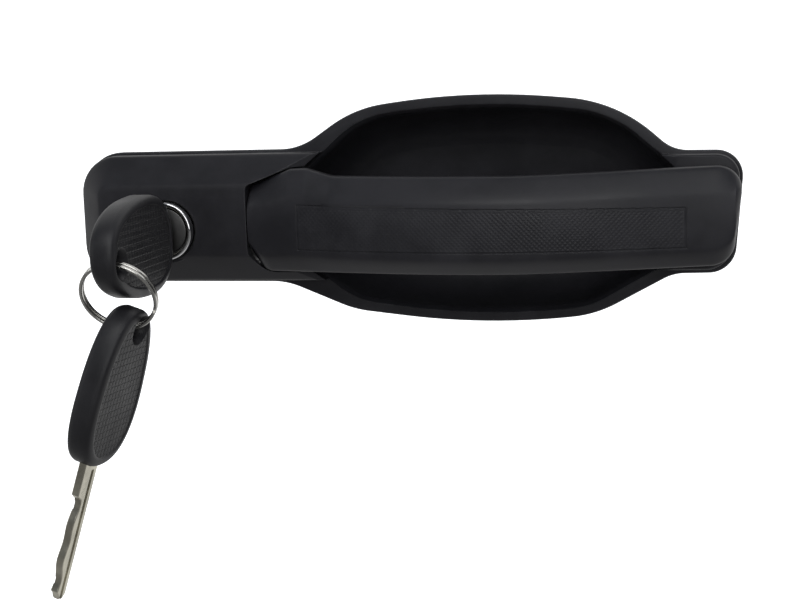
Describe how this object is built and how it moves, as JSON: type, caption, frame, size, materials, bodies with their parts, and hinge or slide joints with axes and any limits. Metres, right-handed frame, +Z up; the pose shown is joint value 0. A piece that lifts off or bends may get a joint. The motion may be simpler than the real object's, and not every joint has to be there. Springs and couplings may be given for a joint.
{
  "type": "exterior car door handle",
  "caption": "Car door pull handle: strap grip hinged in a bowl housing, key lock with cam, bellcrank and rod clips behind, keys on a split ring.",
  "frame": {"origin": "on the gasket's back face, in the middle of its edge at the lock end", "axes": "+X along the handle towards the grip's hinge, +Y into the door, +Z up"},
  "size_m": [0.2132, 0.1081, 0.1504],
  "materials": {
    "housing_plastic": "satin black, fine grain",
    "grip_plastic": "satin black, fine grain",
    "key_plastic": "moulded black",
    "clip_plastic": "natural nylon",
    "rubber": "black",
    "zinc": "die-cast zinc",
    "steel": "zinc-plated",
    "chrome": "bright",
    "nickel_silver": "nickel silver"
  },
  "bodies": {
    "housing": {"bellcrank_pin": "steel", "bellcrank_pin_clip": "steel", "bellcrank_spring": "steel", "gasket": "rubber", "grip_bumper_lower": "rubber", "grip_bumper_upper": "rubber", "grip_hinge_pin": "steel", "housing": "housing_plastic", "lock_barrel": "zinc", "lock_bezel": "chrome", "lock_retaining_clip": "steel", "lock_return_spring": "steel", "lock_seal": "rubber", "stud_front": "steel", "stud_nut_front": "steel", "stud_nut_rear": "steel", "stud_rear": "steel"},
    "grip": {"grip_cover": "grip_plastic", "grip_back": "grip_plastic", "grip_screw_front": "steel", "grip_screw_rear": "steel", "hinge_bush_upper": "clip_plastic", "hinge_bush_lower": "clip_plastic"},
    "bellcrank": {"bellcrank": "zinc"},
    "latch_clip": {"latch_rod_clip": "clip_plastic"},
    "lock_plug": {"lock_plug": "zinc", "lock_wafer_1": "nickel_silver", "lock_wafer_2": "nickel_silver", "lock_wafer_3": "nickel_silver", "lock_wafer_4": "nickel_silver", "lock_wafer_5": "nickel_silver", "lock_cam": "steel", "lock_cam_clip": "steel"},
    "lock_clip": {"lock_rod_clip": "clip_plastic"},
    "key": {"key_head": "key_plastic", "key_blade": "nickel_silver"},
    "key_ring": {"key_ring": "steel"},
    "spare_key": {"spare_key_head": "key_plastic", "spare_key_blade": "nickel_silver"}
  },
  "joints": [
    {"name": "grip_pull", "type": "hinge", "parent": "housing", "child": "grip", "pos_m": [0.20425, -0.0047, 0], "axis": [0, 0, 1], "range_deg": [0, 9]},
    {"name": "bellcrank_turn", "type": "hinge", "parent": "housing", "child": "bellcrank", "pos_m": [0.04925, 0.0113, 0.0135], "axis": [1, 0, 0], "range_deg": [-62.2, 0], "deforming": ["bellcrank_spring"]},
    {"name": "latch_clip_swivel", "type": "hinge", "parent": "bellcrank", "child": "latch_clip", "pos_m": [0.04225, 0.02724, 0.01489], "axis": [1, 0, 0], "range_deg": [0, 62.2]},
    {"name": "lock_turn", "type": "hinge", "parent": "housing", "child": "lock_plug", "pos_m": [0.03175, -0.0017, -0.003], "axis": [0, 1, 0], "range_deg": [-70, 70], "deforming": ["lock_return_spring"]},
    {"name": "lock_clip_swivel", "type": "hinge", "parent": "lock_plug", "child": "lock_clip", "pos_m": [0.03175, 0.0293, -0.021], "axis": [0, 1, 0], "range_deg": [-70.5, 70.5]},
    {"name": "key_withdraw", "type": "slide", "parent": "lock_plug", "child": "key", "axis": [0, -1, 0], "range_m": [0, 0.05]},
    {"name": "ring_swing", "type": "hinge", "parent": "key", "child": "key_ring", "pos_m": [0.03175, -0.0662, -0.0075], "axis": [1, 0, 0], "range_deg": [-75, 0]},
    {"name": "spare_swing", "type": "hinge", "parent": "key_ring", "child": "spare_key", "pos_m": [0.03254, -0.05583, -0.02778], "axis": [0.9976, -0.0318, 0.0621], "range_deg": [-25, 10]}
  ],
  "couplings": [
    {"joint": "bellcrank_turn", "follows": "grip_pull", "ratio": -6.9},
    {"joint": "latch_clip_swivel", "follows": "grip_pull", "ratio": 6.9},
    {"joint": "lock_clip_swivel", "follows": "lock_turn", "ratio": -1}
  ]
}
